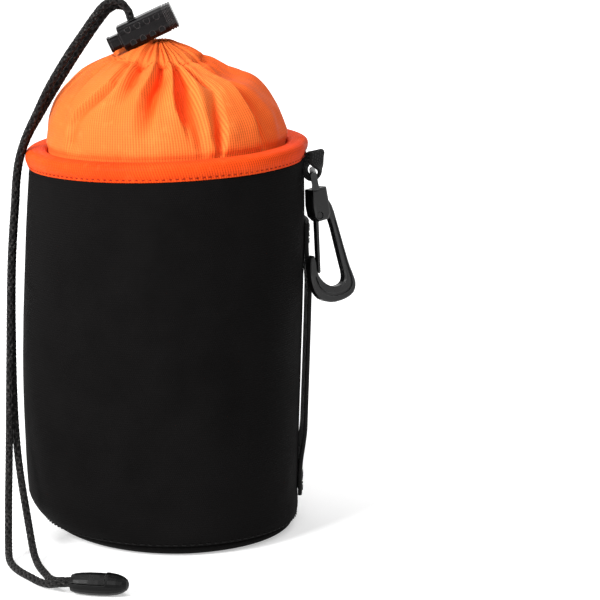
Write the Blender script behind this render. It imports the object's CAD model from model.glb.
"""Padded neoprene lens pouch: sewn and gathered cloth, braided cord and moulded fittings.

Sizes are in millimetres, as in the part's source, and MM turns them into metres.
"""

import math

import bpy
import numpy as np
from mathutils import Matrix, Vector, noise


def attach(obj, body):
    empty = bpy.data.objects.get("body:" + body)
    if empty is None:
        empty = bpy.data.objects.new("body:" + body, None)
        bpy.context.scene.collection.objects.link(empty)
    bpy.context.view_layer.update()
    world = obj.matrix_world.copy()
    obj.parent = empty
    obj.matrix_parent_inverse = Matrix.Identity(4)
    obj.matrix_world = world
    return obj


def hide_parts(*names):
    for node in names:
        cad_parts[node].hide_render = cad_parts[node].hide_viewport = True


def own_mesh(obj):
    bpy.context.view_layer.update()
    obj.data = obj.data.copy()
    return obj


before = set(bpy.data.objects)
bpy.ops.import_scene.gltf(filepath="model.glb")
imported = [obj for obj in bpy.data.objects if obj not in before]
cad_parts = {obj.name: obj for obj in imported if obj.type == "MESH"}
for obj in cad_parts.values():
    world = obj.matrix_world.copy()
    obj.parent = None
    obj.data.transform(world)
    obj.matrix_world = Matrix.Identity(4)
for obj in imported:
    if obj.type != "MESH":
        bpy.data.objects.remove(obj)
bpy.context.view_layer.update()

MM = 0.001

# Camera, from the photo: 600 by 600 pixels
CAMERA_PLACE = (0.0, -1224.5, 337.7)
CAMERA_PITCH = math.radians(11.451)  # down
CAMERA_YAW = math.radians(2.411)  # to the right
CAMERA_ROLL = math.radians(0.474)
CAMERA_LENS = 193.03

# Body
GAP = 0.3
BINDING_TAPE = 0.8  # thickness of the solids' rim tape
BODY_HEIGHT = 151.0
BASE_RADIUS = 52.3
RIM_RADIUS = 52.6
BELLY = 1.8
SWELL_CAP = 0.7  # the most that the padding pushes its face out
SWELL_ROOM = 0.6  # the face starts this much smaller
SWELL_SCALE = 28.0  # the simulation is run at this many times the size
SWELL_ROWS = 46
SWELL_COLUMNS = 96
SWELL_FRAMES = 20
SWELL_PRESSURE = 4  # in the simulation's own units, as is the mass
SWELL_MASS = 0.15
BASE_ROUNDING = 8.7
CORNER_CENTRE = np.array([BASE_RADIUS - BASE_ROUNDING, BASE_ROUNDING])
WALL_TOP = BODY_HEIGHT - BINDING_TAPE - GAP
NEOPRENE = 4.4
LINING = 0.9
BASE_SEAM_ANGLE = math.radians(35)
BODY_SWAY = 2.0
SWAY_SHARE = 0.6
CORNER_PULL = 0.165  # share of the radius by which the base's corner is drawn in at the left
CORNER_PULL_HEIGHT = 15.0
CORNER_PULL_ANGLE = math.radians(192)
RIM_TILT = math.radians(2.4)
TILT_START_SHARE = 0.35
SEAM_CREASE = 1.0
CREASE_REACH = 0.55  # how far from the seam it fades
PINHOLE = 0.4  # radius left open at the axis
ROUND_STEPS = 288
LINING_STEPS = 96
BASE_STITCH_ANGLE = math.radians(23)
BASE_STITCH_PITCH = 3.2
BASE_STITCH = 2.1
STITCH_THREAD = 0.2

# Rim tape
TAPE_LOW = BODY_HEIGHT - 6.6
TAPE_THICKNESS = 0.7
TAPE_POINTS = 54
TAPE_BITE = 0.55  # how far it draws the wall in
TAPE_STITCH_HEIGHT = TAPE_LOW + 1.0
TAPE_STITCH_PITCH = 2.5
TAPE_STITCH_RADIUS = 53.3
TAPE_STITCH = 1.7
KEEPER_ANGLE = math.radians(-9)  # where the keeper presses the tape in

# Collar
COLLAR_FOOT = RIM_RADIUS - NEOPRENE - LINING - 3 * GAP - BINDING_TAPE
COLLAR_CLOTH = 0.45
DOME_RISE = 40.0
MOUTH_OFFSET = -3.6
OFFSET_SHARE = 0.8
LOCK_PRESS = 1.8
CLOTH_PRESS = 0.4
HEM_RADIUS = 8.0
HEM_RISE_SHARE = 0.893
COLLAR_ANGLES = 720
COLLAR_ROWS = 190
HEM_SEAM_SHARE = 0.848  # of the rise
HEM_DROP_SHARE = 0.02  # of the rise, by which its seam dips at the front
HEM_DROP_ANGLE = math.radians(-77)
GATHER = 1.5  # depth of the gathers at the casing
FINE_GATHER = 0.55
HEM_STITCH_PITCH = 2.3
HEM_STITCH = 1.4
HEM_STITCH_THREAD = 0.13
HEM_STITCH_FACING = 16.0  # how far up its stitches face

# Cord and cord lock
CORD = 2.9
CORD_PAIR = CORD + GAP
CORD_RINGS = 860
DRAWCORD_RINGS = 260
BRAID_PITCH = 3.4
BRAID_DIP = 0.18
BRAID_RELIEF = 0.2
LOCK_TILT = math.radians(25.5)
LOCK_MOUTH = np.array([MOUTH_OFFSET - 13.9, -4.0, BODY_HEIGHT + DOME_RISE + 0.6])
LOCK_AXIS = np.array([math.cos(LOCK_TILT), 0.0, math.sin(LOCK_TILT)])
LOCK_UP = np.array([-math.sin(LOCK_TILT), 0.0, math.cos(LOCK_TILT)])
LOCK_HOLE = 6.6
LOCK_HEIGHT = 10.1
LOCK_WIDTH = 12.6
PLUNGER_REACH = 5.0
SPRING_FROM = 11.65
SPRING_TO = 20.5
SPRING_RADIUS = 2.1
SPRING_WIRE = 0.5
SPRING_CURLS = 6
SPRING_DROP = 0.3

# Webbing
STRAP_WIDTH = 19.0
STRAP_THICKNESS = 1.5
STRAP_LOW = 13.0
STRAP_HIGH = 121.0
STRAP_SEWN = 9.0
STRAP_BOW = 1.5
STRAP_SHIFT = 1.8
STRAP_SEAM = 1.6  # from its end to the first stitches
STRAP_SELVEDGE = 2.2
STRAP_STITCH_PITCH = 1.9
STRAP_STITCH = 1.3
STRAP_STITCH_THREAD = 0.18
KEEPER_WIDTH = 9.0
KEEPER_WEBBING = 1.3
KEEPER_SPAN = 6.8
KEEPER_LOW = 137.9
KEEPER_HIGH = 149.4
KEEPER_LEAN = 2.0
KEEPER_SHIFT = -7.0
KEEPER_PINCH = 0.46  # share by which its two layers draw together above the eye's bar
KEEPER_PINCH_FROM = 4.0  # above its lower end
KEEPER_PINCH_REACH = 5.5
KEEPER_TWIST = math.radians(32)  # of its upper end, towards the front

# Rounding of the moulded edges
LOCK_ROUNDING = 0.18
HOOK_ROUNDING = 0.22

# Floor and backdrop
FLOOR_REACH = 6000.0
FLOOR_GAP = 0.05
WORLD_LIGHT = 0.31

# The two free strands of cord, point by point, as in the part's source
LEFT_STRAND = [
    (-13.9, -5.6, 199.4), (-15.0, -5.7, 202.6), (-17.2, -5.8, 205.3), (-20.6, -5.9, 206.2),
    (-24.0, -5.9, 204.6), (-27.4, -5.8, 200.6), (-32.3, -5.6, 193.6), (-38.0, -5.4, 185.2),
    (-45.2, -5.2, 173.0), (-50.0, -5.1, 162.9), (-54.3, -5.3, 153.4), (-56.8, -5.8, 145.0),
    (-57.9, -6.4, 136.8), (-58.4, -7.0, 128.6), (-59.2, -8.2, 117.4), (-59.8, -9.6, 105.6),
    (-60.1, -12.2, 90.6), (-60.2, -15.8, 75.4), (-60.3, -20.0, 60.2), (-60.3, -25.2, 44.0),
    (-60.3, -30.6, 31.0), (-60.3, -36.4, 20.4), (-60.1, -42.8, 12.0), (-59.8, -50.0, 5.4),
    (-59.2, -57.0, 2.1), (-57.6, -64.4, 1.55), (-54.6, -72.6, 1.55), (-50.4, -80.4, 1.6),
    (-46.4, -87.4, 1.7), (-42.6, -93.2, 2.6), (-39.6, -96.6, 3.9), (-36.6, -97.7, 4.3),
    (-31.6, -98.65, 4.3),
]
RIGHT_STRAND = [
    (-13.9, -2.4, 199.4), (-14.6, -2.5, 201.8), (-16.4, -2.6, 203.6), (-19.4, -2.7, 204.0),
    (-22.4, -2.8, 202.4), (-25.4, -2.8, 198.8), (-30.3, -2.7, 191.8), (-35.8, -2.5, 183.4),
    (-43.2, -2.2, 171.4), (-48.4, -2.0, 162.4), (-53.2, -2.2, 153.8), (-56.2, -2.7, 145.4),
    (-57.5, -3.3, 137.2), (-58.0, -3.9, 128.8), (-58.8, -5.1, 117.6), (-59.4, -6.5, 105.8),
    (-59.6, -9.1, 90.8), (-59.4, -12.7, 75.6), (-59.0, -16.8, 60.6), (-58.2, -21.6, 45.4),
    (-57.0, -26.4, 33.6), (-55.4, -31.8, 24.0), (-53.6, -38.2, 15.8), (-51.8, -46.0, 8.6),
    (-50.2, -54.0, 3.6), (-48.6, -61.4, 1.7), (-47.0, -68.8, 1.55), (-45.0, -76.2, 1.6),
    (-43.0, -83.2, 1.8), (-40.8, -89.4, 2.9), (-38.6, -93.2, 4.0), (-35.9, -94.5, 4.3),
    (-30.9, -95.45, 4.3),
]


def placed(name, data):
    """A new object of the scene."""
    obj = bpy.data.objects.new(name, data)
    bpy.context.scene.collection.objects.link(obj)
    return obj


# The camera

def make_camera():
    yaw, pitch, roll = CAMERA_YAW, CAMERA_PITCH, CAMERA_ROLL
    forward = Vector((math.sin(yaw) * math.cos(pitch), math.cos(yaw) * math.cos(pitch), -math.sin(pitch)))
    level = Vector((math.cos(yaw), -math.sin(yaw), 0))
    upright = level.cross(forward)
    right = level * math.cos(roll) + upright * math.sin(roll)
    up = upright * math.cos(roll) - level * math.sin(roll)
    data = bpy.data.cameras.new("camera")
    data.lens = CAMERA_LENS
    data.sensor_width = 36
    data.clip_start = 0.05
    data.clip_end = 20
    camera = placed("camera", data)
    matrix = np.eye(4)
    matrix[:3, 0], matrix[:3, 1], matrix[:3, 2] = right, up, -forward
    matrix[:3, 3] = np.array(CAMERA_PLACE) * MM
    camera.matrix_world = Matrix([list(row) for row in matrix])
    bpy.context.scene.camera = camera


make_camera()


# Meshes from points

def mesh_object(name, points, faces, uv=None, smooth=True):
    """A mesh object from points in millimetres. uv is one (u, v) in millimetres for each face corner."""
    mesh = bpy.data.meshes.new(name)
    mesh.from_pydata((np.asarray(points, float) * MM).tolist(), [], faces)
    mesh.validate()
    if uv is not None and len(uv) == len(mesh.loops):
        layer = mesh.uv_layers.new(name="cloth")
        layer.data.foreach_set("uv", (np.asarray(uv, float)).ravel())
    if smooth:
        mesh.shade_smooth()
    mesh.update()
    return placed(name, mesh)


def grid_faces(rows, columns, closed, cap):
    """Faces between rows of points. Each row is a ring, and so are the columns where closed says."""
    faces = []
    for row in range(rows if closed else rows - 1):
        low, high = row * columns, (row + 1) % rows * columns
        for column in range(columns):
            beside = (column + 1) % columns
            faces.append((low + column, low + beside, high + beside, high + column))
    if cap:
        last = (rows - 1) * columns
        faces += [tuple(range(columns))[::-1], tuple(range(last, last + columns))]
    return faces


def grid_object(name, points, closed, u=None, v=None, cap=False):
    """A mesh from points[row, column].

    u and v are places on the cloth in millimetres, one more than there are columns and rows.
    """
    rows, columns = points.shape[:2]
    u = np.arange(columns + 1, dtype=float) if u is None else u
    v = np.arange(rows + 1, dtype=float) if v is None else v
    uv = []
    for row in range(rows if closed else rows - 1):
        for column in range(columns):
            uv += [(u[column], v[row]), (u[column + 1], v[row]),
                   (u[column + 1], v[row + 1]), (u[column], v[row + 1])]
    if cap:
        uv += [(u[column], v[0]) for column in range(columns)][::-1]
        uv += [(u[column], v[rows - 1]) for column in range(columns)]
    return mesh_object(name, points.reshape(-1, 3), grid_faces(rows, columns, closed, cap), uv)


def arc_lengths(points):
    steps = np.linalg.norm(np.diff(points, axis=0), axis=1)
    return np.concatenate([[0.0], np.cumsum(steps)])


def closed_lengths(points):
    return arc_lengths(np.vstack([points, points[:1]]))


def ring_angles(count):
    return np.linspace(0, 2 * math.pi, count, endpoint=False)


def turned(angle):
    """The same angle, between minus and plus half a turn."""
    return np.mod(angle + math.pi, 2 * math.pi) - math.pi


def smooth_share(x):
    t = np.clip(x, 0.0, 1.0)
    return t * t * (3 - 2 * t)


def bump_share(x):
    return np.exp(-np.square(x))


def wave_noise(x, y, z, scale, seed):
    """Smooth noise from -1 to 1 at places in millimetres."""
    flat = np.stack([np.ravel(x), np.ravel(y), np.ravel(z)], axis=1) / scale + seed
    values = np.array([noise.noise(Vector(p)) for p in flat])
    return values.reshape(np.shape(x))


def catmull_rom(points, count):
    """Evenly spaced points on a smooth line through points."""
    p = np.asarray(points, float)
    p = np.vstack([2 * p[0] - p[1], p, 2 * p[-1] - p[-2]])
    line = []
    for i in range(1, len(p) - 2):
        p0, p1, p2, p3 = p[i - 1], p[i], p[i + 1], p[i + 2]
        t1 = max(np.linalg.norm(p1 - p0), 1e-9) ** 0.5
        t2 = t1 + max(np.linalg.norm(p2 - p1), 1e-9) ** 0.5
        t3 = t2 + max(np.linalg.norm(p3 - p2), 1e-9) ** 0.5
        for t in np.linspace(t1, t2, 24, endpoint=False):
            a1 = (t1 - t) / t1 * p0 + t / t1 * p1
            a2 = (t2 - t) / (t2 - t1) * p1 + (t - t1) / (t2 - t1) * p2
            a3 = (t3 - t) / (t3 - t2) * p2 + (t - t2) / (t3 - t2) * p3
            b1 = (t2 - t) / t2 * a1 + t / t2 * a2
            b2 = (t3 - t) / (t3 - t1) * a2 + (t - t1) / (t3 - t1) * a3
            line.append((t2 - t) / (t2 - t1) * b1 + (t - t1) / (t2 - t1) * b2)
    line.append(p[-2])
    return resampled(np.array(line), count)


def resampled(line, count, endpoint=True):
    """Evenly spaced points on a line."""
    along = arc_lengths(line)
    places = np.linspace(0, along[-1], count, endpoint=endpoint)
    return np.stack([np.interp(places, along, axis) for axis in line.T], axis=1)


def frames_along(line):
    """Side and up at each point of a line, turning as little as they can."""
    tangent = np.gradient(line, axis=0)
    tangent /= np.linalg.norm(tangent, axis=1)[:, None]
    side = np.cross(tangent[0], (0, 1, 0))
    if np.linalg.norm(side) < 0.2:
        side = np.cross(tangent[0], (1, 0, 0))
    sides = []
    for direction in tangent:
        side = side - direction * np.dot(side, direction)
        side = side / np.linalg.norm(side)
        sides.append(side)
    return np.array(sides), np.cross(tangent, sides)


def tube_points(line, radius, turn):
    """A ring of points round each point of a line, at the angles in turn. The radius may vary over them."""
    side, up = frames_along(line)
    return (line[:, None, :] + side[:, None, :] * (radius * np.cos(turn))[..., None]
            + up[:, None, :] * (radius * np.sin(turn))[..., None])


# Node graphs

class Graph:
    """A material's node graph."""

    def __init__(self, name):
        self.material = bpy.data.materials.new(name)
        self.material.use_nodes = True
        self.tree = self.material.node_tree
        self.tree.nodes.clear()
        self.shader = self.node("ShaderNodeBsdfPrincipled")
        self.out = self.node("ShaderNodeOutputMaterial")
        self.link(self.shader.outputs[0], self.out.inputs["Surface"])

    def node(self, kind, **settings):
        made = self.tree.nodes.new(kind)
        for key, value in settings.items():
            setattr(made, key, value)
        return made

    def link(self, source, target):
        self.tree.links.new(source, target)

    def put(self, value, socket):
        if hasattr(value, "is_output"):
            self.link(value, socket)
        else:
            socket.default_value = value

    def math(self, operation, a, b=0.0, c=0.0):
        made = self.node("ShaderNodeMath", operation=operation)
        for value, socket in zip((a, b, c), made.inputs):
            self.put(value, socket)
        return made.outputs[0]

    def cloth(self, scale_u=1.0, scale_v=1.0):
        """The cloth coordinates in millimetres, times the scales, as u and v."""
        uv = self.node("ShaderNodeUVMap", uv_map="cloth")
        split = self.node("ShaderNodeSeparateXYZ")
        self.link(uv.outputs[0], split.inputs[0])
        u = self.math("MULTIPLY", split.outputs[0], scale_u)
        return u, self.math("MULTIPLY", split.outputs[1], scale_v)

    def object_place(self):
        return self.node("ShaderNodeTexCoord").outputs["Object"]

    def noise(self, scale, detail=3.0, roughness=0.55):
        """Noise at so many waves a metre."""
        made = self.node("ShaderNodeTexNoise")
        self.link(self.object_place(), made.inputs["Vector"])
        made.inputs["Scale"].default_value = scale
        made.inputs["Detail"].default_value = detail
        made.inputs["Roughness"].default_value = roughness
        return made.outputs[0]

    def span(self, value, low, high, to_low, to_high):
        made = self.node("ShaderNodeMapRange")
        for socket, number in zip(made.inputs[1:5], (low, high, to_low, to_high)):
            socket.default_value = number
        self.link(value, made.inputs[0])
        return made.outputs[0]

    def wave(self, coordinate):
        """0 to 1 and back once for each whole number of the coordinate."""
        angle = self.math("MULTIPLY", coordinate, 2 * math.pi)
        return self.math("MULTIPLY_ADD", self.math("SINE", angle), 0.5, 0.5)

    def staggered(self, along, row):
        """Small bumps in rows, where every other row is moved on by half a bump."""
        moved = self.math("MULTIPLY", self.math("MODULO", self.math("FLOOR", row), 2.0), 0.5)
        return self.math("MULTIPLY", self.wave(self.math("ADD", along, moved)), self.wave(row))

    def mix(self, fac, a, b):
        made = self.node("ShaderNodeMix", data_type="RGBA")
        self.put(fac, made.inputs[0])
        self.put(a, made.inputs[6])
        self.put(b, made.inputs[7])
        return made.outputs[2]

    def bump(self, height, distance_mm, strength=1.0, under=None):
        made = self.node("ShaderNodeBump")
        made.inputs["Strength"].default_value = strength
        made.inputs["Distance"].default_value = distance_mm * MM
        self.link(height, made.inputs["Height"])
        if under is not None:
            self.link(under, made.inputs["Normal"])
        return made.outputs[0]

    def edge(self, reach_mm):
        """0 on an even face, rising to 1 at a sharp edge."""
        rounded = self.node("ShaderNodeBevel", samples=4)
        rounded.inputs["Radius"].default_value = reach_mm * MM
        compare = self.node("ShaderNodeVectorMath", operation="DOT_PRODUCT")
        self.link(rounded.outputs[0], compare.inputs[0])
        self.link(self.node("ShaderNodeNewGeometry").outputs["Normal"], compare.inputs[1])
        return self.span(compare.outputs["Value"], 0.995, 0.85, 0, 1)

    def finish(self, color, roughness, normal, **constants):
        self.put(color, self.shader.inputs["Base Color"])
        self.put(roughness, self.shader.inputs["Roughness"])
        self.link(normal, self.shader.inputs["Normal"])
        for key, value in constants.items():
            self.shader.inputs[key.replace("_", " ")].default_value = value
        return self.material


def srgb(*channels):
    """A colour as it shows on screen, 0 to 255, in the shader's own terms."""
    shown = [channel / 255 for channel in channels]
    return (*(c / 12.92 if c <= 0.04045 else ((c + 0.055) / 1.055) ** 2.4 for c in shown), 1.0)


def scaled(color, factor, lift=0.0):
    """A colour made darker or lighter."""
    return (*(min(1.0, c * factor + lift) for c in color[:3]), 1.0)


# Materials

def neoprene_material():
    """Foam rubber faced with a fine black knit: short ribs, faint pilling and a soft sheen."""
    g = Graph("neoprene_knit")
    u, v = g.cloth(1 / 0.75, 1 / 0.9)
    loop = g.staggered(u, v)
    mottle = g.noise(60.0, 5.0)
    fine = g.noise(1500.0, 2.0)
    fade = g.noise(14.0, 2.0)
    color = g.mix(g.span(mottle, 0.35, 0.65, 0, 1), srgb(12, 11, 11), srgb(18, 17, 17))
    color = g.mix(g.span(fade, 0.45, 0.7, 0, 0.5), color, srgb(22, 21, 21))
    color = g.mix(g.span(loop, 0, 1, 0.35, 0), color, srgb(5, 5, 5))
    height = g.math("MULTIPLY_ADD", fine, 0.5, loop)
    normal = g.bump(height, 0.09, 0.8)
    normal = g.bump(g.noise(90.0, 3.0), 0.35, 0.35, normal)
    rough = g.span(mottle, 0.3, 0.7, 0.72, 0.9)
    return g.finish(color, rough, normal, Sheen_Weight=0.004, Sheen_Roughness=0.4, Specular_IOR_Level=0.025)


def lining_material():
    g = Graph("brushed_lining")
    fine = g.noise(900.0, 4.0)
    cloud = g.noise(50.0, 3.0)
    color = g.mix(g.span(cloud, 0.35, 0.65, 0, 1), srgb(44, 44, 46), srgb(58, 58, 61))
    color = g.mix(g.span(fine, 0.4, 0.7, 0, 0.5), color, srgb(28, 28, 30))
    return g.finish(color, g.span(fine, 0, 1, 0.85, 1.0), g.bump(fine, 0.4, 0.7), Sheen_Weight=0.3)


def orange_cloth_material(name, lit, deep, valley, rib_pitch, lean):
    """Orange cloth with fine ribs along its length, as of a twill, and redder where it is folded in."""
    g = Graph(name)
    u, v = g.cloth()
    drift = g.math("MULTIPLY", g.noise(40.0, 2.0), 1.2)
    across = g.math("ADD", g.math("MULTIPLY", g.math("MULTIPLY_ADD", v, lean, u), 1 / rib_pitch), drift)
    rib = g.wave(across)
    pick = g.wave(g.math("MULTIPLY", v, 1 / 0.95))
    weave = g.math("MULTIPLY_ADD", pick, 0.3, rib)
    slub = g.noise(260.0, 4.0)
    cloud = g.noise(28.0, 3.0)
    color = g.mix(g.span(cloud, 0.35, 0.65, 0, 1), deep, lit)
    color = g.mix(g.span(weave, 0.05, 0.9, 0.74, 0), color, scaled(deep, 0.5))
    color = g.mix(g.span(slub, 0.55, 0.75, 0, 0.25), color, scaled(lit, 1.25, 0.02))
    fold = g.node("ShaderNodeAttribute", attribute_name="fold")
    color = g.mix(g.math("MULTIPLY", fold.outputs["Fac"], 0.8), color, valley)
    normal = g.bump(g.math("MULTIPLY_ADD", slub, 0.5, weave), 0.1, 0.7)
    rough = g.span(slub, 0.3, 0.7, 0.5, 0.68)
    return g.finish(color, rough, normal, Sheen_Weight=0.012, Sheen_Roughness=0.4, Specular_IOR_Level=0.06)


def cord_material():
    """Black braid: each strand lies over the next, with the fibres' gloss along it."""
    g = Graph("black_braid")
    u, v = g.cloth(1.0, 1 / BRAID_PITCH)
    one = g.wave(g.math("ADD", g.math("MULTIPLY", u, 4.0), v))
    other = g.wave(g.math("SUBTRACT", g.math("MULTIPLY", u, 4.0), v))
    strand = g.math("MAXIMUM", one, other)
    fibre = g.wave(g.math("ADD", g.math("MULTIPLY", u, 30.0), g.math("MULTIPLY", v, 7.0)))
    color = g.mix(g.span(strand, 0.35, 0.95, 0, 1), srgb(3, 3, 3), srgb(20, 19, 19))
    color = g.mix(g.span(g.noise(1100.0, 2.0), 0.56, 0.68, 0, 0.7), color, srgb(72, 69, 67))
    height = g.math("MULTIPLY_ADD", fibre, 0.25, strand)
    return g.finish(color, g.span(strand, 0, 1, 0.7, 0.4), g.bump(height, 0.26, 0.9),
                    Sheen_Weight=0.01, Specular_IOR_Level=0.1)


def webbing_material():
    """Black woven webbing: rounded ribs across it, in offset pairs."""
    g = Graph("black_webbing")
    u, v = g.cloth(1 / 1.5, 1 / 1.1)
    weave = g.staggered(v, u)
    fuzz = g.noise(1200.0, 3.0)
    color = g.mix(g.span(weave, 0.0, 0.8, 0, 1), srgb(5, 5, 5), srgb(19, 18, 18))
    color = g.mix(g.span(fuzz, 0.5, 0.8, 0, 0.3), color, srgb(38, 37, 36))
    height = g.math("MULTIPLY_ADD", fuzz, 0.3, weave)
    return g.finish(color, 0.7, g.bump(height, 0.28, 0.8), Sheen_Weight=0.02, Specular_IOR_Level=0.12)


def thread_material(name, color):
    g = Graph(name)
    twist = g.noise(1600.0, 2.0)
    shade = g.mix(g.span(twist, 0.3, 0.7, 0, 1), scaled(color, 0.6), color)
    return g.finish(shade, 0.6, g.bump(twist, 0.08, 0.8), Specular_IOR_Level=0.1)


def plastic_material(name, dark, light, roughness, grain, gloss, worn):
    """Moulded plastic with a fine grain, dull scuffs, polished spots and paler worn edges."""
    g = Graph(name)
    fine = g.noise(2600.0, 2.0)
    scuff = g.noise(220.0, 6.0, 0.7)
    cloud = g.noise(70.0, 2.0)
    color = g.mix(g.span(cloud, 0.35, 0.65, 0, 1), dark, light)
    wear = g.math("MULTIPLY", g.edge(0.28), g.span(scuff, 0.3, 0.6, 0.35, 1.0))
    color = g.mix(wear, color, worn)
    rough = g.math("ADD", g.span(scuff, 0.35, 0.75, roughness - 0.07, roughness + 0.14),
                   g.span(cloud, 0.3, 0.7, -0.04, 0.04))
    normal = g.bump(fine, grain, 0.5)
    normal = g.bump(scuff, 0.05, 0.3, normal)
    normal = g.bump(g.noise(130.0, 1.0), 0.5, 0.5, normal)
    return g.finish(color, rough, normal, Specular_IOR_Level=gloss)


def steel_material():
    g = Graph("spring_steel")
    streak = g.noise(900.0, 3.0)
    color = g.mix(streak, srgb(150, 151, 154), srgb(200, 200, 203))
    return g.finish(color, g.span(streak, 0.3, 0.7, 0.22, 0.4), g.bump(streak, 0.02, 0.4), Metallic=1.0)


NEOPRENE_KNIT = neoprene_material()
BRUSHED_LINING = lining_material()
COLLAR_CLOTH_LOOK = orange_cloth_material(
    "orange_collar_cloth", lit=srgb(248, 124, 56), deep=srgb(244, 108, 45), valley=srgb(238, 68, 14),
    rib_pitch=1.05, lean=0.0)
TAPE_LOOK = orange_cloth_material(
    "orange_rim_tape", lit=srgb(245, 82, 23), deep=srgb(232, 66, 15), valley=srgb(200, 40, 8),
    rib_pitch=1.0, lean=0.35)
BRAID = cord_material()
WEBBING = webbing_material()
ORANGE_THREAD = thread_material("orange_thread", srgb(150, 36, 12))
HEM_THREAD = thread_material("hem_thread", srgb(222, 84, 32))
BLACK_THREAD = thread_material("black_thread", srgb(15, 14, 14))
LOCK_PLASTIC = plastic_material(
    "satin_black_plastic", dark=srgb(7, 6, 7), light=srgb(13, 11, 12), worn=srgb(86, 82, 82),
    roughness=0.2, grain=0.015, gloss=0.13)
HOOK_PLASTIC = plastic_material(
    "moulded_black_plastic", dark=srgb(9, 9, 10), light=srgb(15, 15, 16), worn=srgb(70, 70, 71),
    roughness=0.32, grain=0.015, gloss=0.34)
GLOSS_PLASTIC = plastic_material(
    "glossy_black_plastic", dark=srgb(7, 7, 7), light=srgb(11, 11, 11), worn=srgb(60, 60, 60),
    roughness=0.3, grain=0.006, gloss=0.12)
STEEL = steel_material()


def dress(obj, material, nodes=()):
    """Gives a piece of the pouch its material and slot, and says which nodes it stands for."""
    obj.data.materials.clear()
    obj.data.materials.append(material)
    if nodes:
        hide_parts(*nodes)
    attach(obj, "pouch")


# The padded body

def sway_at(height):
    share = np.clip(np.asarray(height, float) / BODY_HEIGHT, 0, 1)
    return -BODY_SWAY * np.sin(math.pi * share ** SWAY_SHARE)


def wall_radius(height):
    share = (np.asarray(height, float) - BASE_ROUNDING) / (BODY_HEIGHT - BASE_ROUNDING)
    return BASE_RADIUS + (RIM_RADIUS - BASE_RADIUS) * share + BELLY * 4 * share * (1 - share)


def settled(points):
    """Leans and tilts points as the soft body stands, with its base drawn in at the left."""
    p = np.array(points, float)
    low = np.clip(1 - p[..., 2] / CORNER_PULL_HEIGHT, 0, 1) ** 1.5
    facing = np.maximum(0, np.cos(np.arctan2(p[..., 1], p[..., 0]) - CORNER_PULL_ANGLE)) ** 1.5
    p[..., :2] *= (1 - CORNER_PULL * low * facing)[..., None]
    share = (p[..., 2] / BODY_HEIGHT - TILT_START_SHARE) / (1 - TILT_START_SHARE)
    lift = p[..., 0] * math.tan(RIM_TILT) * smooth_share(share)
    p[..., 0] += sway_at(p[..., 2])
    p[..., 2] += lift
    return p


def corner_arc(from_angle, to_angle, depth, steps):
    """The round bottom edge at a depth in the padding, as (radius, height)."""
    angle = np.linspace(from_angle, to_angle, steps + 1)
    return CORNER_CENTRE + (BASE_ROUNDING - depth) * np.stack([np.cos(angle), -np.sin(angle)], 1)


def creased_corner(from_angle, to_angle, seam_angle, steps):
    """The outside of the round bottom edge, which bends in at the base's seam."""
    arc = corner_arc(from_angle, to_angle, 0, steps)
    away = np.abs(np.linspace(from_angle, to_angle, steps + 1) - seam_angle) * BASE_ROUNDING
    inward = (CORNER_CENTRE - arc) / BASE_ROUNDING
    return arc + inward * (SEAM_CREASE * np.exp(-away / CREASE_REACH))[:, None]


def wall_line(depth, steps):
    """The wall at a depth in the padding, from its foot to its top."""
    height = np.linspace(BASE_ROUNDING, WALL_TOP, steps + 1)
    return np.stack([wall_radius(height) - depth, height], 1)


def inner_line(depth):
    """The wall at a depth in the padding, from the base's seam to its top."""
    return np.vstack([corner_arc(BASE_SEAM_ANGLE, 0, depth, 4), wall_line(depth, 12)[1:]])


def disc_line(height, count):
    """A level line from beside the axis to where the bottom edge turns up."""
    radius = np.linspace(PINHOLE, CORNER_CENTRE[0], count)
    return np.stack([radius, np.full(count, height)], 1)


def revolved(name, profile, steps, dent=None):
    """Turns a closed profile of (radius, height) about the body's axis. dent gives a change of radius."""
    turn, radius = np.meshgrid(ring_angles(steps), profile[:, 0])
    height = np.repeat(profile[:, 1:], steps, axis=1)
    if dent is not None:
        radius = radius + dent(turn, height, np.arange(len(profile))[:, None])
    points = np.stack([radius * np.cos(turn), radius * np.sin(turn), height], axis=2)
    u = np.linspace(0, 2 * math.pi * BASE_RADIUS, steps + 1)
    return grid_object(name, settled(points), True, u, closed_lengths(profile))


def wall_profile():
    """Up the outside from the base's seam and down the inside, and how many points lie outside."""
    line = wall_line(0, 70)[1:]
    line[:, 0] -= TAPE_BITE * bump_share((line[:, 1] - TAPE_LOW - 1.0) / 1.5)
    outside = np.vstack([creased_corner(BASE_SEAM_ANGLE, 0, BASE_SEAM_ANGLE, 14), line])
    return np.vstack([outside, inner_line(NEOPRENE)[::-1]]), len(outside)


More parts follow.
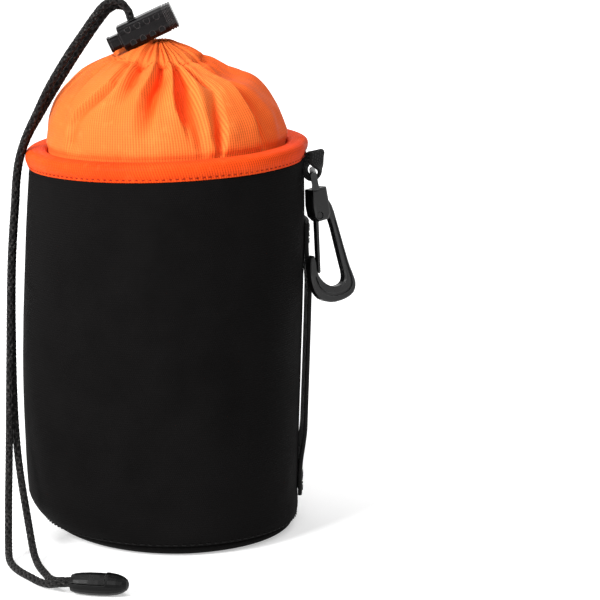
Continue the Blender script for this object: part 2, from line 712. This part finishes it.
def wall_swell():
    """How far the padding pushes the wall out between its seams, over heights and angles.

    It comes from a short cloth simulation of the wall's face under the pressure of the padding.
    """
    heights = np.linspace(BASE_ROUNDING - 2, TAPE_LOW + 1, SWELL_ROWS)
    angles = ring_angles(SWELL_COLUMNS)
    turn, radius = np.meshgrid(angles, wall_radius(heights))
    height = np.repeat(heights[:, None], SWELL_COLUMNS, axis=1)
    points = np.stack([radius * np.cos(turn), radius * np.sin(turn), height], axis=2)
    face = grid_object("swelling_face", points * SWELL_SCALE, False)
    held = face.vertex_groups.new(name="held")
    last_row = (SWELL_ROWS - 1) * SWELL_COLUMNS
    held.add([*range(SWELL_COLUMNS), *range(last_row, last_row + SWELL_COLUMNS)], 1.0, "REPLACE")
    cloth = face.modifiers.new("padding", "CLOTH").settings
    cloth.quality = 5
    cloth.mass = SWELL_MASS
    cloth.vertex_group_mass = "held"
    cloth.use_pressure = True
    cloth.uniform_pressure_force = SWELL_PRESSURE
    cloth.effector_weights.gravity = 0
    for step in range(1, SWELL_FRAMES + 1):
        bpy.context.scene.frame_set(step)
    moved = face.evaluated_get(bpy.context.evaluated_depsgraph_get()).data
    place = np.empty(len(moved.vertices) * 3)
    moved.vertices.foreach_get("co", place)
    bpy.context.scene.frame_set(1)
    bpy.data.objects.remove(face)
    place = place.reshape(SWELL_ROWS, SWELL_COLUMNS, 3) / MM / SWELL_SCALE
    swell = np.hypot(place[..., 0], place[..., 1]) - radius
    return heights, angles, SWELL_CAP * np.tanh(swell / SWELL_CAP)


def make_wall():
    profile, outside = wall_profile()
    heights, angles, swell = wall_swell()

    def dent(turn, height, row):
        x, y = BASE_RADIUS * np.cos(turn), BASE_RADIUS * np.sin(turn)
        soft = 0.45 * wave_noise(x, y, height * 0.6, 34.0, 3.1) + 0.08 * wave_noise(x, y, height, 11.0, 8.7)
        fade = smooth_share(height / 20) * smooth_share((WALL_TOP - height) / 14)
        seam = -0.35 * bump_share(turned(turn - STRAP_SHIFT / BASE_RADIUS) * BASE_RADIUS / 0.5)
        padding = np.array([np.interp(turn[0], angles, ring, period=2 * math.pi) for ring in swell])
        padding = np.stack([np.interp(height[:, 0], heights, column, left=0, right=0)
                            for column in padding.T], axis=1)
        padding -= SWELL_ROOM * smooth_share((height - 5) / 10) * smooth_share((TAPE_LOW + 3 - height) / 8)
        return (row < outside) * (soft * fade + seam + padding)

    wall = revolved("padded_wall", profile, ROUND_STEPS, dent)
    dress(wall, NEOPRENE_KNIT, nodes=["neoprene_wall"])


def make_base():
    seam = BASE_SEAM_ANGLE + GAP / BASE_ROUNDING
    profile = np.vstack([disc_line(0.0, 16)[:-1], creased_corner(math.pi / 2, seam, seam, 22),
                         corner_arc(math.pi / 2, seam, NEOPRENE, 5)[::-1], disc_line(NEOPRENE, 6)[-2::-1]])
    base = revolved("padded_base", profile, ROUND_STEPS)
    dress(base, NEOPRENE_KNIT, nodes=["base_disc"])


def make_linings():
    low = NEOPRENE + GAP
    high = low + LINING
    for name, node, lines in (("wall_liner", "wall_lining", [inner_line(low), inner_line(high)[::-1]]),
                              ("base_liner", "base_lining", [disc_line(low, 8), disc_line(high, 8)[::-1]])):
        lining = revolved(name, np.vstack(lines), LINING_STEPS)
        dress(lining, BRUSHED_LINING, nodes=[node])


# Stitches

def stitch_row(name, places, normals, length, thread, material, closed=True):
    """Short threads that dip into the cloth at both ends, centred on places, in millimetres."""
    rings, sides = 7, 6
    step = np.linspace(-0.5, 0.5, rings)[:, None, None]
    end = (2 * step) ** 4
    girth = thread * (1 - 0.35 * end)
    angle = ring_angles(sides)[None, :, None]
    one = grid_faces(rings, sides, False, True)
    points, faces = [], []
    count = len(places)
    for i in range(count):
        after = places[(i + 1) % count] if closed or i + 1 < count else places[i]
        before = places[i - 1] if closed or i > 0 else places[i]
        along = (after - before) / np.linalg.norm(after - before)
        out = normals[i] / np.linalg.norm(normals[i])
        side = np.cross(along, out)
        centre = places[i] + along * (step * length) + out * (thread * (1.0 - 2.6 * end))
        points.append(centre + girth * (side * np.cos(angle) + out * np.sin(angle)))
        faces += [tuple(i * rings * sides + corner for corner in face) for face in one]
    dress(mesh_object(name, np.array(points).reshape(-1, 3), faces), material)


def stitch_ring(name, radius, height, pitch, droop, length, material):
    """A ring of stitches round the body, on a face that looks down by the slope droop."""
    count = int(round(2 * math.pi * radius / pitch))
    angle = np.arange(count) * 2 * math.pi / count
    out = np.stack([np.cos(angle), np.sin(angle), np.full(count, -droop)], 1)
    places = out * (radius, radius, 0) + (0, 0, height)
    stitch_row(name, settled(places), out, length, STITCH_THREAD, material)


def make_base_stitches():
    radius, height = corner_arc(BASE_STITCH_ANGLE, BASE_STITCH_ANGLE, 0, 0)[0]
    stitch_ring("base_stitches", radius, height, BASE_STITCH_PITCH, math.tan(BASE_STITCH_ANGLE),
                BASE_STITCH, BLACK_THREAD)


# The rim tape

TAPE_OUTSIDE = [
    (53.0, 144.35), (53.25, 144.8), (53.35, 145.4), (53.8, 146.1), (54.25, 147.1), (54.4, 148.3),
    (54.3, 149.5), (53.8, 150.4), (53.0, 151.0), (51.8, 151.35), (50.2, 151.5), (48.6, 151.4),
    (47.3, 151.05), (46.4, 150.5), (45.98, 149.6), (45.95, 148.0), (45.95, 146.0), (45.95, 144.4),
]


def make_tape():
    outside = catmull_rom(TAPE_OUTSIDE, TAPE_POINTS)
    along = np.gradient(outside, axis=0)
    along /= np.linalg.norm(along, axis=1)[:, None]
    inside = outside + np.stack([-along[:, 1], along[:, 0]], 1) * TAPE_THICKNESS
    profile = np.vstack([outside, inside[::-1]])

    def dent(turn, height, row):
        x, y = BASE_RADIUS * np.cos(turn), BASE_RADIUS * np.sin(turn)
        outer = smooth_share((26 - np.minimum(row, len(profile) - 1 - row)) / 14)
        pressed = bump_share(turned(turn - KEEPER_ANGLE) * RIM_RADIUS / 6)
        pucker = np.cos(turn * round(2 * math.pi * RIM_RADIUS / TAPE_STITCH_PITCH))
        near = bump_share((height - TAPE_LOW) / 1.6)
        return outer * (0.3 * wave_noise(x, y, height, 14.0, 5.0) + 0.07 * pucker * near - pressed)

    tape = revolved("rim_tape", profile, ROUND_STEPS * 2, dent)
    dress(tape, TAPE_LOOK, nodes=["rim_binding"])
    stitch_ring("tape_stitches", TAPE_STITCH_RADIUS, TAPE_STITCH_HEIGHT, TAPE_STITCH_PITCH, 0.0,
                TAPE_STITCH, ORANGE_THREAD)


# The gathered collar

# The collar's outer line as shares of the foot's radius and of the rise
COLLAR_LINE_SHARES = [
    (1.0, -0.1375), (1.0, 0.0), (1.012, 0.06), (0.995, 0.155), (0.968, 0.27), (0.925, 0.375),
    (0.865, 0.49), (0.794, 0.59), (0.71, 0.68), (0.6, 0.755), (0.49, 0.81), (0.395, 0.845),
    (0.335, 0.885), (0.25, 0.93), (0.17, 0.965), (0.118, 0.992), (0.09, 0.998), (0.079, 0.97),
    (0.079, 0.905),
]

# Ridges and valleys of the gathered cloth in the photo, in order round the front. Each is followed down
# the collar as (share of the rise, angle, how far it stands out in millimetres).
FRONT_FOLDS = [
    [(0.84, -172, 0.2), (0.7, -172, -0.6), (0.5, -172, -0.6), (0.3, -172, -0.1), (0.1, -172, 0.0)],
    [(0.86, -155, -1.2), (0.76, -155, -1.9), (0.68, -153, -1.6), (0.5, -152, -1.0), (0.3, -152, 0.0)],
    [(0.84, -147, 0.7), (0.7, -148, 0.7), (0.5, -148, 0.3), (0.3, -148, 0.2), (0.1, -148, 0.1)],
    [(0.84, -128, 0.8), (0.706, -127.5, 1.0), (0.607, -134, 0.9), (0.438, -142.5, 0.6), (0.3, -146, 0.3),
     (0.1, -146, 0.2)],
    [(0.84, -124, -0.4), (0.706, -122.5, -2.0), (0.607, -129, -2.4), (0.438, -137.5, -1.8),
     (0.34, -141, -1.3), (0.15, -142.5, -1.3), (0.03, -142.5, -0.2)],
    [(0.84, -117, 0.8), (0.75, -116, 0.6), (0.6, -119, 0.7), (0.45, -125, 0.7), (0.3, -130, 0.6),
     (0.1, -130, 0.3)],
    [(0.84, -110, -2.4), (0.716, -110, -3.0), (0.62, -111, -1.8), (0.5, -113, -0.5), (0.3, -115, 0.5),
     (0.1, -115, 0.3)],
    [(0.84, -92.5, 1.2), (0.73, -95.5, 1.9), (0.617, -101, 1.6), (0.5, -104, 1.0), (0.3, -106, 0.6),
     (0.1, -106, 0.3)],
    [(0.84, -87, -2.6), (0.716, -90, -4.2), (0.6, -94, -4.0), (0.5, -95.5, -3.2), (0.4, -97, -2.2),
     (0.3, -98, -1.2), (0.18, -98.5, -0.1)],
    [(0.84, -82, -1.0), (0.711, -86, -2.2), (0.6, -89, -1.8), (0.5, -91, -0.9), (0.35, -92, 0.0),
     (0.15, -92, 0.3)],
    [(0.84, -76.5, 1.0), (0.706, -80, 1.7), (0.582, -82.5, 2.0), (0.458, -83, 1.7), (0.368, -82, 1.1),
     (0.25, -81, 0.5), (0.1, -81, 0.3)],
    [(0.84, -74, -2.6), (0.706, -77.2, -4.8), (0.582, -79.4, -5.2), (0.458, -80, -4.2),
     (0.368, -79.5, -2.6), (0.28, -78.5, -0.9), (0.15, -78, 0.1)],
    [(0.84, -70.5, -2.0), (0.7, -71.8, -4.0), (0.6, -73.5, -4.2), (0.473, -74.5, -3.4),
     (0.35, -74, -2.4), (0.214, -73.5, -1.9), (0.09, -73.2, -1.2), (0.02, -73, -0.5)],
    [(0.84, -66.5, 0.8), (0.662, -65.5, 1.5), (0.55, -67, 1.7), (0.433, -68.3, 1.6), (0.209, -69, 1.1),
     (0.05, -67.5, 0.4)],
    [(0.84, -61.5, -2.6), (0.76, -60.5, -3.4), (0.716, -57.5, -2.4), (0.6, -55.0, -0.8),
     (0.418, -59.8, -2.0), (0.199, -63.2, -2.9), (0.05, -64.5, -2.0)],
    [(0.84, -56, 0.4), (0.716, -52.5, 0.3), (0.6, -51.5, 0.2), (0.418, -55.5, 1.0), (0.199, -59.3, 1.4),
     (0.05, -61, 0.5)],
    [(0.84, -50, 0.3), (0.7, -48, 1.0), (0.5, -49, 1.2), (0.3, -50, 1.2), (0.1, -50, 0.5)],
    [(0.84, -42.5, 0.8), (0.756, -43, 1.7), (0.632, -41.2, 2.1), (0.478, -42, 2.1), (0.328, -41.5, 1.8),
     (0.174, -41.5, 1.3), (0.03, -40.5, 0.3)],
    [(0.84, -39, -1.8), (0.756, -39.8, -3.8), (0.632, -37.8, -4.4), (0.478, -38.4, -4.2),
     (0.328, -37.8, -3.6), (0.174, -37.8, -2.7), (0.03, -36.8, -1.4)],
    [(0.84, -33, -0.8), (0.756, -34, -2.6), (0.632, -32, -2.8), (0.478, -32, -2.4), (0.328, -31, -1.8),
     (0.174, -32, -1.4), (0.03, -32, -0.8)],
    [(0.84, -24, 0.0), (0.756, -27, -1.1), (0.537, -22, -0.8), (0.338, -19, -0.4), (0.109, -24, -0.2)],
    [(0.84, -10, -1.6), (0.7, -12, -1.7), (0.5, -12, -1.0), (0.3, -13, -0.7), (0.12, -16, -1.0),
     (0.02, -16, -0.4)],
    [(0.84, -2, -0.8), (0.7, -2, -0.9), (0.5, -2, -0.6), (0.3, -2, 0.0), (0.1, -4, 0.1)],
]


def back_folds():
    """Ridges and valleys of the same kind for the side that the photo doesn't show."""
    spread = np.random.default_rng(7)
    folds = []
    angle = 12.0
    while angle < 172:
        width = spread.uniform(13, 20)
        drift = spread.uniform(-4, 4)
        depth = spread.uniform(2.4, 4.6)
        end = spread.uniform(0.1, 0.35)
        lip = spread.uniform(2.0, 3.2) if spread.random() < 0.6 else spread.uniform(4.5, 6.0)
        rows = [(0.84, 0.0, 0.55), (0.72, 0.3, 1.0), (0.56, 0.7, 1.0),
                (0.56 - (0.56 - end) * 0.6, 0.9, 0.6), (end, 1.0, 0.0)]
        for beside, rise in ((-lip, 1.4), (0.0, -depth), (width * 0.5, 0.9)):
            folds.append([(share, angle + drift * lean + beside, rise * part) for share, lean, part in rows])
        angle += width
    return folds


def fold_relief(turn, share):
    """How far the cloth stands out at each angle and share. Rows have one share."""
    folds = [np.array(fold[::-1]).T for fold in FRONT_FOLDS + back_folds()]
    relief = np.zeros_like(turn)
    for row, degrees in enumerate(np.degrees(turn)):
        at = share[row, 0]
        knots = sorted((np.interp(at, shares, places), np.interp(at, shares, heights))
                       for shares, places, heights in folds)
        angles, rises = np.array(knots).T
        angles = np.concatenate([angles - 360, angles, angles + 360])
        rises = np.tile(rises, 3)
        place = np.clip(np.searchsorted(angles, degrees) - 1, 0, len(angles) - 2)
        part = (degrees - angles[place]) / np.maximum(angles[place + 1] - angles[place], 1e-6)
        relief[row] = rises[place] + (rises[place + 1] - rises[place]) * smooth_share(part)
    return relief


def seam_share(turn):
    """The share of the rise at which the casing's seam lies: a little lower at the front."""
    return HEM_SEAM_SHARE - HEM_DROP_SHARE * np.cos(turn - HEM_DROP_ANGLE)


def collar_base(turn, share, radius):
    """The collar without its folds, pressed down a little at the left, where the cord lock lies."""
    shift = MOUTH_OFFSET * smooth_share(share / OFFSET_SHARE)
    near_mouth = smooth_share((share - OFFSET_SHARE) / (1 - OFFSET_SHARE))
    height = BODY_HEIGHT + DOME_RISE * share - CLOTH_PRESS * np.maximum(0, -np.cos(turn)) * near_mouth
    return settled(np.stack([shift + radius * np.cos(turn), radius * np.sin(turn), height], axis=2))


def under_lock(points):
    """Presses the cloth down where the cord lock lies on it."""
    away = points - LOCK_MOUTH
    along, up = away @ LOCK_AXIS, away @ LOCK_UP
    beside = np.maximum(np.abs(away[..., 1]) - LOCK_WIDTH / 2, 0) + np.maximum(-PLUNGER_REACH - along, 0)
    lowest = -LOCK_HEIGHT / 2 - 0.2 + 0.8 * beside
    over = np.maximum(up - lowest, 0)
    return points - over[..., None] * LOCK_UP


def cusped(phase):
    """Round ridges with sharp valleys between them, from -1 to 0."""
    return np.abs(np.cos(phase / 2)) - 1


def gathered_relief(turn, share, radius):
    """How far the cloth stands out with its folds, gathers and seam, and 1 where it is above the seam."""
    relief = fold_relief(turn, share)
    relief = relief * smooth_share(np.where(relief > 0, share - 0.01, share + 0.05) / 0.1)
    away = share - seam_share(turn)
    above = smooth_share(away / 0.03)
    near_hem = smooth_share((away + 0.14) / 0.14) * (1 - above)
    phase = 36 * turn + 2.4 * np.sin(5 * turn + 0.7) + 1.3 * np.sin(11 * turn + 2) + 5 * share
    fine_phase = 59 * turn + 2.1 * np.sin(4 * turn) - 4 * share
    gather = GATHER * cusped(phase) + FINE_GATHER * cusped(fine_phase)
    thin = np.minimum(1, radius / 13)
    relief = relief * (1 - 0.75 * above) + gather * (0.4 * near_hem ** 1.6 + 0.5 * above) * thin
    relief = relief - 0.5 * bump_share(away / 0.011)
    soft = wave_noise(COLLAR_FOOT * np.cos(turn), COLLAR_FOOT * np.sin(turn), share * 40, 8.0, 1.3)
    return relief + 0.35 * soft * smooth_share(share / 0.15) * (1 - 0.5 * above), above


def fold_depth(turn, relief, above):
    """How deep in a fold the cloth's colour is, from 0 to 1. The right lobe is folded under as a whole."""
    depth = smooth_share((-relief - 0.4) / 2.8)
    folded_under = smooth_share((turned(turn) + 0.68) / 0.12) * smooth_share((0.5 - turned(turn)) / 0.6)
    return np.maximum(depth, 0.4 * folded_under) * (1 - 0.6 * above)


def fuller(turn, share):
    """How far the dome stands out or in at its left and right, as its outline in the photo does."""
    left, right = -np.cos(turn), np.cos(turn)
    full = 2.4 * bump_share((share - 0.93) / 0.09) * smooth_share(left * 1.8 - 0.2)
    trim = 1.4 * bump_share((share - 0.66) / 0.14) * smooth_share(left * 1.6 - 0.3)
    return full - trim - 2.7 * bump_share((share - 0.735) / 0.105) * smooth_share(right * 1.6 - 0.3)


def collar_surface(angles, shares, radii):
    """Points of the collar for each row (share, radius) and angle, and how deep in a fold they are."""
    turn, share = np.meshgrid(angles, shares)
    radius = np.repeat(radii[:, None], len(angles), axis=1)
    outer = np.arange(len(shares))[:, None] <= INNER_ROW
    base = collar_base(turn, share, radius)
    around = np.roll(base, -1, axis=1) - np.roll(base, 1, axis=1)
    normal = np.cross(around, np.gradient(base, axis=0))
    normal /= np.linalg.norm(normal, axis=2)[:, :, None]
    relief, above = gathered_relief(turn, share, radius)
    depth = fold_depth(turn, relief, above)
    relief = np.where(outer, relief + fuller(turn, share), 0)
    return under_lock(base + normal * relief[:, :, None]), depth


LINE = catmull_rom(np.array(COLLAR_LINE_SHARES) * (COLLAR_FOOT, DOME_RISE), COLLAR_ROWS)
INNER_ROW = int(np.argmax(LINE[:, 1]))


def make_collar():
    shares, lengths = LINE[:, 1] / DOME_RISE, arc_lengths(LINE)
    points, depth = collar_surface(ring_angles(COLLAR_ANGLES), shares, LINE[:, 0])
    u = np.linspace(0, 2 * math.pi * COLLAR_FOOT, COLLAR_ANGLES + 1)
    collar = grid_object("gathered_cloth", points, False, u, np.append(lengths, lengths[-1] + 1))
    fold = collar.data.attributes.new("fold", "FLOAT", "POINT")
    fold.data.foreach_set("value", depth.astype(np.float32).ravel())
    thick = collar.modifiers.new("cloth_thickness", "SOLIDIFY")
    thick.thickness = COLLAR_CLOTH * MM
    thick.offset = -1
    dress(collar, COLLAR_CLOTH_LOOK, nodes=["gathered_collar"])
    return points, shares


def make_hem_stitches(points, shares):
    """Threads along the casing's seam, wherever it runs over the gathered surface."""
    at = np.searchsorted(shares[:INNER_ROW + 1], seam_share(ring_angles(COLLAR_ANGLES)) + 0.006)
    ring = points[np.clip(at, 1, INNER_ROW), np.arange(COLLAR_ANGLES)]
    middle = ring.mean(axis=0)
    ring = np.vstack([ring, ring[:1]])
    places = resampled(ring, int(arc_lengths(ring)[-1] / HEM_STITCH_PITCH), endpoint=False)
    out = places - middle
    out[:, 2] = HEM_STITCH_FACING
    stitch_row("hem_stitches", places, out, HEM_STITCH, HEM_STITCH_THREAD, HEM_THREAD)


# The cords

def braided_tube(name, route, count, sides=20):
    """A braided cord along a route: eight strands that cross in pairs stand a little proud."""
    line = catmull_rom(route, count)
    along = arc_lengths(line)
    turn = ring_angles(sides)
    phase = 2 * math.pi * along[:, None] / BRAID_PITCH
    proud = np.maximum(np.sin(4 * turn + phase), np.sin(4 * turn - phase))
    points = tube_points(line, CORD / 2 - BRAID_DIP + BRAID_RELIEF * proud, turn)
    u = np.linspace(0, 1, sides + 1)
    return grid_object(name, points, False, u, np.append(along, along[-1]), cap=True), line


def lock_point(along, across, up):
    return LOCK_MOUTH + LOCK_AXIS * along + LOCK_UP * up + np.array([0, across, 0])


def drawcord_route():
    """Down into the lock, round the casing and up into the lock again."""
    side = CORD_PAIR / 2
    heights = (LOCK_HEIGHT / 2 - GAP, 0, -LOCK_HEIGHT / 2, -LOCK_HEIGHT / 2 - CORD / 2)
    down = [lock_point(LOCK_HOLE, -side, height) for height in heights]
    up = [lock_point(LOCK_HOLE, side, height) for height in heights[::-1]]
    gate, stops = math.pi / 5, 14
    ring = []
    for stop in range(stops + 1):
        angle = math.pi + gate + (2 * math.pi - 2 * gate) * stop / stops
        x = MOUTH_OFFSET + HEM_RADIUS * math.cos(angle)
        pressed = LOCK_PRESS * max(0, -math.cos(angle)) / 2
        height = BODY_HEIGHT + DOME_RISE * HEM_RISE_SHARE - pressed + x * math.tan(RIM_TILT)
        ring.append((x, HEM_RADIUS * math.sin(angle), height))
    return down + ring + up


def make_cords():
    held, _ = braided_tube("draw_cord", drawcord_route(), DRAWCORD_RINGS)
    dress(held, BRAID, nodes=["drawcord"])
    for name, route, node, end in (("cord_strand_left", LEFT_STRAND, "cord_tail_left", "cord_end_lid"),
                                   ("cord_strand_right", RIGHT_STRAND, "cord_tail_right", "cord_end_body")):
        strand, line = braided_tube(name, route, CORD_RINGS)
        dress(strand, BRAID, nodes=[node])


# Strap and keeper

def wrapped(points):
    """Bends what is drawn in X and Z, with Y across it, round the body's axis."""
    p = np.array(points, float)
    angle = p[..., 1] / p[..., 0]
    radius = p[..., 0].copy()
    p[..., 0] = radius * np.cos(angle)
    p[..., 1] = radius * np.sin(angle)
    return p


def band_section(width, thickness):
    """The section of a woven band, as (across, out): flat faces and rounded selvedges."""
    half, t = width / 2, thickness / 2
    face = np.linspace(-half + t, half - t, 15)
    edge = np.linspace(0, math.pi, 6)[1:-1]
    section = [(a, t) for a in face]
    section += [(half - t + t * math.sin(b), t * math.cos(b)) for b in edge]
    section += [(a, -t) for a in face[::-1]]
    section += [(-half + t - t * math.sin(b), -t * math.cos(b)) for b in edge]
    return np.array(section)


def band_points(line, width, thickness, shift, closed, twist=None):
    """A band along a line of (x, z), bent round the body. twist gives its middle and angle at a height."""
    section = band_section(width, thickness)
    if closed:
        along = np.roll(line, -1, axis=0) - np.roll(line, 1, axis=0)
    else:
        along = np.gradient(line, axis=0)
    along /= np.linalg.norm(along, axis=1)[:, None]
    out = np.stack([along[:, 1], -along[:, 0]], 1)
    x = line[:, None, 0] + out[:, None, 0] * section[None, :, 1]
    z = line[:, None, 1] + out[:, None, 1] * section[None, :, 1]
    y = np.repeat(section[None, :, 0] + shift, len(line), axis=0)
    if twist is not None:
        middle, angle = twist(z)
        across, back = x - middle, y - shift
        x = middle + across * np.cos(angle) + back * np.sin(angle)
        y = shift - across * np.sin(angle) + back * np.cos(angle)
    return wrapped(np.stack([x, y, z], axis=2)), closed_lengths(section), closed_lengths(line)


def strap_offset(height):
    from_end = np.minimum(height - STRAP_LOW, STRAP_HIGH - height) - STRAP_SEWN
    return GAP + STRAP_THICKNESS / 2 + STRAP_BOW * smooth_share(from_end / (2 * STRAP_SEWN))


def make_strap():
    height = np.linspace(STRAP_LOW, STRAP_HIGH, 140)
    line = np.stack([wall_radius(height) + strap_offset(height), height], 1)
    points, girth, lengths = band_points(line, STRAP_WIDTH, STRAP_THICKNESS, STRAP_SHIFT, False)
    points[..., 0] += sway_at(points[..., 2])
    strap = grid_object("belt_webbing", points, False, girth, lengths, cap=True)
    dress(strap, WEBBING, nodes=["belt_strap"])
    make_strap_stitches("strap_stitches_low", STRAP_LOW + STRAP_SEAM, STRAP_LOW + STRAP_SEWN - 1)
    make_strap_stitches("strap_stitches_high", STRAP_HIGH - STRAP_SEWN + 1, STRAP_HIGH - STRAP_SEAM)


def make_strap_stitches(name, low, high):
    """A sewn box with a cross in it, between two heights on the strap."""
    half = STRAP_WIDTH / 2 - STRAP_SELVEDGE
    corners = np.array([(-half, low), (half, low), (half, high), (-half, high),
                        (-half, low), (half, high), (half, low), (-half, high)])
    path = []
    for start, step in zip(corners, np.diff(corners, axis=0)):
        count = max(2, int(np.linalg.norm(step) / STRAP_STITCH_PITCH))
        path += [start + step * (i + 0.5) / count for i in range(count)]
    across, height = np.array(path).T
    x = wall_radius(height) + strap_offset(height) + STRAP_THICKNESS / 2
    places = wrapped(np.stack([x, across + STRAP_SHIFT, height], 1))
    out = places * (1, 1, 0)
    places[:, 0] += sway_at(height)
    stitch_row(name, places, out, STRAP_STITCH, STRAP_STITCH_THREAD, BLACK_THREAD, closed=False)


def make_keeper():
    middle_x = RIM_RADIUS + GAP + KEEPER_SPAN / 2
    middle_z = (KEEPER_LOW + KEEPER_HIGH) / 2
    half = (KEEPER_HIGH - KEEPER_LOW) / 2
    radius = (KEEPER_SPAN - KEEPER_WEBBING) / 2
    straight = half - KEEPER_WEBBING / 2 - radius
    line = [(radius * math.cos(angle), middle + radius * math.sin(angle))
            for middle, start in ((straight, 0), (-straight, math.pi))
            for angle in np.linspace(start, start + math.pi, 20)]
    line = resampled(np.array(line + line[:1]), 96, endpoint=False)
    pinch = KEEPER_PINCH * smooth_share((line[:, 1] + half - KEEPER_PINCH_FROM) / KEEPER_PINCH_REACH)
    line[:, 0] = -radius + (line[:, 0] + radius) * (1 - pinch)
    line[:, 0] += KEEPER_LEAN * smooth_share(line[:, 1] / half)
    line += (middle_x, middle_z)

    def twist(z):
        rise = z - middle_z
        turn = KEEPER_TWIST * smooth_share((rise + 0.38 * half) / (0.75 * half))
        return middle_x + KEEPER_LEAN * smooth_share(rise / half), turn

    points, girth, lengths = band_points(line, KEEPER_WIDTH, KEEPER_WEBBING, KEEPER_SHIFT, True, twist)
    keeper = grid_object("keeper_webbing", points, True, girth, lengths)
    dress(keeper, WEBBING, nodes=["hook_keeper"])


# Moulded fittings

def dress_node(name, material, bevel=0.0):
    """Gives a solid of the frame its material, and rounds its sharp edges where bevel says."""
    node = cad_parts[name]
    node.data.materials.clear()
    node.data.materials.append(material)
    for polygon in node.data.polygons:
        polygon.use_smooth = True
    if not bevel:
        return
    round_off = node.modifiers.new("rounding", "BEVEL")
    round_off.width = bevel * MM
    round_off.segments = 3
    round_off.limit_method = "ANGLE"
    round_off.angle_limit = math.radians(38)
    weighted = node.modifiers.new("even_shading", "WEIGHTED_NORMAL")
    weighted.keep_sharp = True


def make_spring():
    turns = np.linspace(0, SPRING_CURLS, SPRING_CURLS * 28 + 1)
    along = SPRING_FROM + SPRING_WIRE / 2 + (SPRING_TO - SPRING_FROM - SPRING_WIRE) * turns / SPRING_CURLS
    reach = SPRING_RADIUS - SPRING_WIRE / 2
    line = np.array([lock_point(place, reach * math.cos(angle), reach * math.sin(angle) - SPRING_DROP)
                     for place, angle in zip(along, 2 * math.pi * turns)])
    points = tube_points(line, SPRING_WIRE / 2, ring_angles(10))
    spring = grid_object("return_spring", points, False, cap=True)
    dress(spring, STEEL, nodes=["lock_spring"])
    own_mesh(spring)


# Floor, backdrop and light

def seen_ray(tree):
    """1 for what the camera sees straight, mirrored or through a clear piece, and 0 for light that falls."""
    path = tree.nodes.new("ShaderNodeLightPath")
    seen = path.outputs["Is Camera Ray"]
    for ray in ("Is Glossy Ray", "Is Transmission Ray"):
        either = tree.nodes.new("ShaderNodeMath")
        either.operation = "MAXIMUM"
        tree.links.new(seen, either.inputs[0])
        tree.links.new(path.outputs[ray], either.inputs[1])
        seen = either.outputs[0]
    return seen


def make_floor():
    """A pale floor that glows towards its far parts, so that it goes over into the white backdrop."""
    g = Graph("pale_stage")
    g.shader.inputs["Base Color"].default_value = (0.86, 0.86, 0.86, 1)
    g.shader.inputs["Roughness"].default_value = 0.9
    g.shader.inputs["Specular IOR Level"].default_value = 0.1
    glow = g.node("ShaderNodeEmission")
    glow.inputs["Color"].default_value = (1, 1, 1, 1)
    away = g.node("ShaderNodeVectorMath", operation="LENGTH")
    g.link(g.object_place(), away.inputs[0])
    bright = g.span(away.outputs["Value"], 0.15, 0.9, 0.45, 1.0)
    g.link(g.math("MULTIPLY", seen_ray(g.tree), bright), glow.inputs["Strength"])
    both = g.node("ShaderNodeAddShader")
    g.link(g.shader.outputs[0], both.inputs[0])
    g.link(glow.outputs[0], both.inputs[1])
    g.link(both.outputs[0], g.out.inputs["Surface"])
    corners = [(-1, -1), (1, -1), (1, 1), (-1, 1)]
    floor = mesh_object("floor", [(x * FLOOR_REACH, y * FLOOR_REACH, -FLOOR_GAP) for x, y in corners],
                        [(0, 1, 2, 3)], smooth=False)
    floor.data.materials.append(g.material)


def make_world():
    """White where the camera sees it, and a soft light on the pieces."""
    scene = bpy.context.scene
    scene.world = scene.world or bpy.data.worlds.new("studio")
    scene.world.use_nodes = True
    tree = scene.world.node_tree
    tree.nodes.clear()
    choice = tree.nodes.new("ShaderNodeMixShader")
    tree.links.new(seen_ray(tree), choice.inputs[0])
    for strength, socket in ((WORLD_LIGHT, 1), (1.0, 2)):
        background = tree.nodes.new("ShaderNodeBackground")
        background.inputs["Color"].default_value = (1, 1, 1, 1)
        background.inputs["Strength"].default_value = strength
        tree.links.new(background.outputs[0], choice.inputs[socket])
    last = tree.nodes.new("ShaderNodeOutputWorld")
    tree.links.new(choice.outputs[0], last.inputs[0])


def soft_lamp(name, place, aim, size, power):
    data = bpy.data.lights.new(name, "AREA")
    data.shape = "SQUARE"
    data.size = size
    data.energy = power
    lamp = placed(name, data)
    lamp.location = place
    lamp.rotation_euler = (Vector(aim) - Vector(place)).to_track_quat("-Z", "Y").to_euler()


def make_light():
    soft_lamp("key", place=(-0.85, -0.9, 0.75), aim=(0, 0, 0.12), size=0.45, power=25.5)
    soft_lamp("fill", place=(0.2, -1.0, 1.15), aim=(0, 0, 0.1), size=0.6, power=6.0)
    soft_lamp("top", place=(-0.2, 0.15, 1.1), aim=(0, 0, 0.1), size=0.5, power=4.0)


# All the pieces

make_cords()
make_wall()
make_base()
make_linings()
make_base_stitches()
make_tape()
collar_points, collar_shares = make_collar()
make_hem_stitches(collar_points, collar_shares)
make_strap()
make_keeper()
for node_name in ("lock_barrel", "lock_plunger"):
    dress_node(node_name, LOCK_PLASTIC, LOCK_ROUNDING)
for node_name in ("hook_eye", "hook_frame", "hook_gate"):
    dress_node(node_name, HOOK_PLASTIC, HOOK_ROUNDING)
for node_name in ("cord_end_body", "cord_end_lid"):
    dress_node(node_name, GLOSS_PLASTIC)
make_spring()
make_floor()
make_world()
make_light()

scene = bpy.context.scene
scene.view_settings.view_transform = "Standard"
